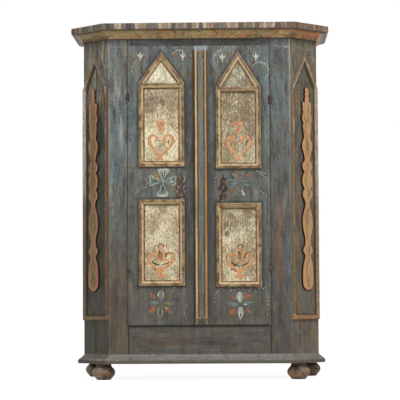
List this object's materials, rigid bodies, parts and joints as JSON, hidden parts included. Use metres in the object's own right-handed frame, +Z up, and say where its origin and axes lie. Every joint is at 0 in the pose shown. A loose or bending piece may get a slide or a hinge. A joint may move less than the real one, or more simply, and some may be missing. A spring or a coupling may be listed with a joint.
{
  "type": "painted folk wardrobe",
  "caption": "Painted wardrobe cabinet with canted corners, panelled doors under gabled mouldings, sawn balusters, a coved cornice and bun feet; the doors swing and the lock bolts slide.",
  "frame": {"origin": "on the floor, under the middle of the cabinet's bounding box", "axes": "+X to the right of someone facing the doors, +Y to the back, +Z up"},
  "size_m": [1.346, 0.579, 1.832],
  "materials": {
    "blue_paint": "worn dark blue-grey paint",
    "strip_paint": "dark paint with ochre beads",
    "cream_paint": "distressed cream paint",
    "ochre_moulding": "marbled ochre paint",
    "corner_moulding": "worn brown paint",
    "baluster_paint": "worn tan and orange paint",
    "striped_cornice": "striped paint",
    "cove_paint": "worn orange-ochre paint",
    "foot_wood": "worn turned wood",
    "bare_pine": "old bare pine",
    "wrought_iron": "rusty forged iron"
  },
  "bodies": {
    "carcass": {"back_boards": "bare_pine", "base_back_rail": "bare_pine", "base_front_rail": "blue_paint", "base_left_rails": "blue_paint", "base_right_rails": "blue_paint", "bottom_rail": "blue_paint", "cornice_board": "striped_cornice", "cornice_front_cove": "cove_paint", "cornice_left_cove": "cove_paint", "cornice_right_cove": "cove_paint", "floor_board": "bare_pine", "front_feet": "foot_wood", "left_corner_baluster": "baluster_paint", "left_corner_board": "blue_paint", "left_corner_moulding": "corner_moulding", "left_front_stile": "blue_paint", "left_hinge_pintles": "wrought_iron", "left_side_panel": "blue_paint", "lower_shelf": "bare_pine", "middle_shelf": "bare_pine", "rear_feet": "foot_wood", "right_corner_baluster": "baluster_paint", "right_corner_board": "blue_paint", "right_corner_moulding": "corner_moulding", "right_front_stile": "blue_paint", "right_hinge_pintles": "wrought_iron", "right_side_panel": "blue_paint", "shelf_bearers": "bare_pine", "top_rail": "blue_paint", "upper_shelf": "bare_pine"},
    "left_door": {"left_door_bottom_rail": "blue_paint", "left_door_hinge_knuckles": "wrought_iron", "left_door_hinge_stile": "blue_paint", "left_door_lock_rail": "blue_paint", "left_door_lower_moulding": "ochre_moulding", "left_door_lower_panel": "cream_paint", "left_door_meeting_stile": "blue_paint", "left_door_top_rail": "blue_paint", "left_door_upper_moulding": "ochre_moulding", "left_door_upper_panel": "cream_paint", "lock_keep": "wrought_iron", "bolt_plates": "wrought_iron"},
    "right_door": {"right_door_bottom_rail": "blue_paint", "right_door_hinge_knuckles": "wrought_iron", "right_door_hinge_stile": "blue_paint", "right_door_lock_rail": "blue_paint", "right_door_lower_moulding": "ochre_moulding", "right_door_lower_panel": "cream_paint", "right_door_meeting_stile": "blue_paint", "right_door_top_rail": "blue_paint", "right_door_upper_moulding": "ochre_moulding", "right_door_upper_panel": "cream_paint", "meeting_strip": "strip_paint", "escutcheon": "wrought_iron", "lock_case": "wrought_iron", "lock_spring": "wrought_iron"},
    "lock_bolt": {"lock_bolt": "wrought_iron"},
    "upper_bolt": {"upper_bolt": "wrought_iron"},
    "lower_bolt": {"lower_bolt": "wrought_iron"}
  },
  "joints": [
    {"name": "left_door_hinge", "type": "hinge", "parent": "carcass", "child": "left_door", "pos_m": [-0.3685, -0.234, 1], "axis": [0, 0, -1], "range_deg": [0, 115]},
    {"name": "right_door_hinge", "type": "hinge", "parent": "carcass", "child": "right_door", "pos_m": [0.3608, -0.234, 1], "axis": [0, 0, 1], "range_deg": [0, 115]},
    {"name": "lock_bolt_slide", "type": "slide", "parent": "right_door", "child": "lock_bolt", "axis": [-1, 0, 0], "range_m": [0, 0.018]},
    {"name": "upper_bolt_slide", "type": "slide", "parent": "left_door", "child": "upper_bolt", "axis": [0, 0, 1], "range_m": [0, 0.02]},
    {"name": "lower_bolt_slide", "type": "slide", "parent": "left_door", "child": "lower_bolt", "axis": [0, 0, -1], "range_m": [0, 0.02]}
  ]
}
